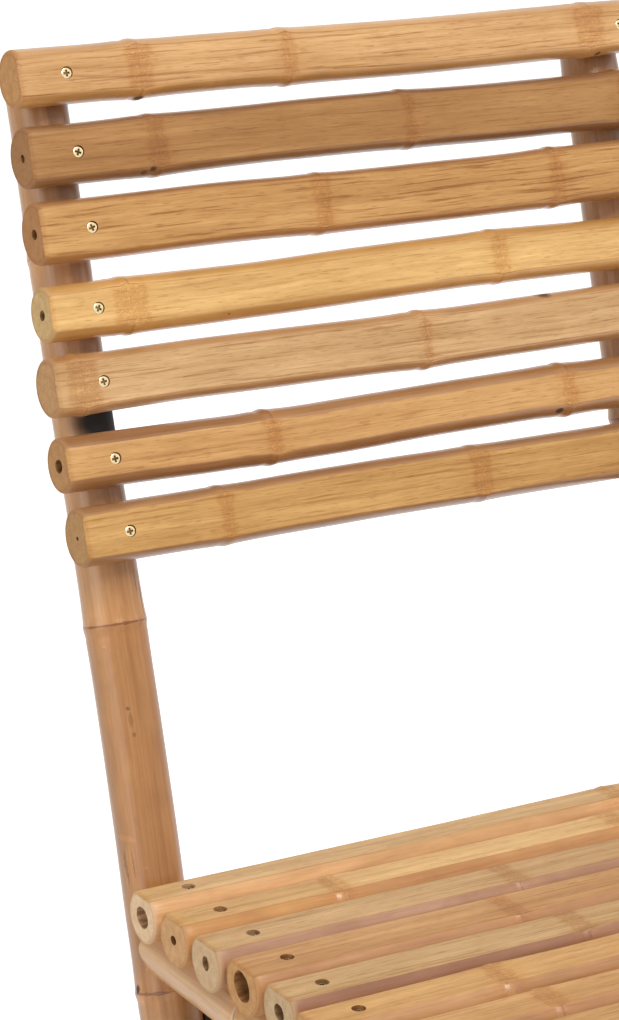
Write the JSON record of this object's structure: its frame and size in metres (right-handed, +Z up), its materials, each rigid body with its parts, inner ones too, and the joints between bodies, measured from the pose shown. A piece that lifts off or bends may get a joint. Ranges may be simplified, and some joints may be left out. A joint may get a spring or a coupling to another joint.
{
  "type": "bamboo folding recliner",
  "caption": "Armless slatted bamboo seat with a leaning slatted back that reclines between clamped side plates, on two pairs of folding bamboo legs.",
  "frame": {"origin": "centre of the bounding box at floor level, under the seat", "axes": "+Z up, -Y the way the sitter faces, +X to the sitter's left"},
  "size_m": [0.5372, 0.6558, 0.9672],
  "materials": {
    "planed_bamboo": "satin, planed face with lengthwise fibres",
    "bamboo_pole": "satin natural skin with node rings",
    "brass_screws": "bright",
    "painted_plate": "satin black coat",
    "zinc_steel": "zinc plated",
    "turned_knob": "oiled hardwood"
  },
  "bodies": {
    "seat_frame": {"seat_slat_01": "planed_bamboo", "seat_slat_02": "planed_bamboo", "seat_slat_03": "planed_bamboo", "seat_slat_04": "planed_bamboo", "seat_slat_05": "planed_bamboo", "seat_slat_06": "planed_bamboo", "seat_slat_07": "planed_bamboo", "seat_slat_08": "planed_bamboo", "seat_slat_09": "planed_bamboo", "seat_slat_10": "planed_bamboo", "seat_slat_screws": "brass_screws", "plate_screws": "brass_screws", "seat_rail_left": "bamboo_pole", "seat_rail_right": "bamboo_pole", "rear_cross_pole": "bamboo_pole", "front_cross_pole": "bamboo_pole", "recline_plate_left": "painted_plate", "recline_plate_right": "painted_plate", "front_hinge_plate_left": "painted_plate", "front_hinge_plate_right": "painted_plate", "rear_stop_rod": "zinc_steel", "front_stop_rod": "zinc_steel", "stop_rod_nuts": "zinc_steel", "recline_bolts": "zinc_steel", "front_leg_bolts": "zinc_steel", "pivot_nuts": "zinc_steel", "pivot_washers": "zinc_steel", "leg_spacer_sleeves": "zinc_steel"},
    "back_frame": {"back_slat_01": "planed_bamboo", "back_slat_02": "planed_bamboo", "back_slat_03": "planed_bamboo", "back_slat_04": "planed_bamboo", "back_slat_05": "planed_bamboo", "back_slat_06": "planed_bamboo", "back_slat_07": "planed_bamboo", "back_slat_screws": "brass_screws", "back_post_left": "bamboo_pole", "back_post_right": "bamboo_pole", "clamp_bolts": "zinc_steel", "clamp_washers": "zinc_steel"},
    "front_leg_frame": {"front_leg_left": "bamboo_pole", "front_leg_right": "bamboo_pole", "front_stretcher_upper": "bamboo_pole", "front_stretcher_lower": "bamboo_pole", "stretcher_screws": "brass_screws"},
    "rear_leg_frame": {"rear_leg_left": "bamboo_pole", "rear_leg_right": "bamboo_pole", "rear_stretcher_upper": "bamboo_pole", "rear_stretcher_lower": "bamboo_pole"},
    "clamp_knob_left": {"clamp_knob_left": "turned_knob"},
    "clamp_knob_right": {"clamp_knob_right": "turned_knob"}
  },
  "joints": [
    {"name": "back_recline", "type": "hinge", "parent": "seat_frame", "child": "back_frame", "pos_m": [0, 0.11829, 0.31561], "axis": [-1, 0, 0], "range_deg": [0, 74]},
    {"name": "front_leg_fold", "type": "hinge", "parent": "seat_frame", "child": "front_leg_frame", "pos_m": [0, -0.2589, 0.31161], "axis": [1, 0, 0], "range_deg": [0, 96.3]},
    {"name": "rear_leg_fold", "type": "hinge", "parent": "seat_frame", "child": "rear_leg_frame", "pos_m": [0, 0.11829, 0.31561], "axis": [-1, 0, 0], "range_deg": [0, 112]},
    {"name": "clamp_knob_left_turn", "type": "hinge", "parent": "back_frame", "child": "clamp_knob_left", "pos_m": [0.24655, 0.10104, 0.25815], "axis": [1, 0, 0], "range_deg": [0, 360]},
    {"name": "clamp_knob_right_turn", "type": "hinge", "parent": "back_frame", "child": "clamp_knob_right", "pos_m": [-0.24655, 0.10104, 0.25815], "axis": [-1, 0, 0], "range_deg": [0, 360]}
  ]
}
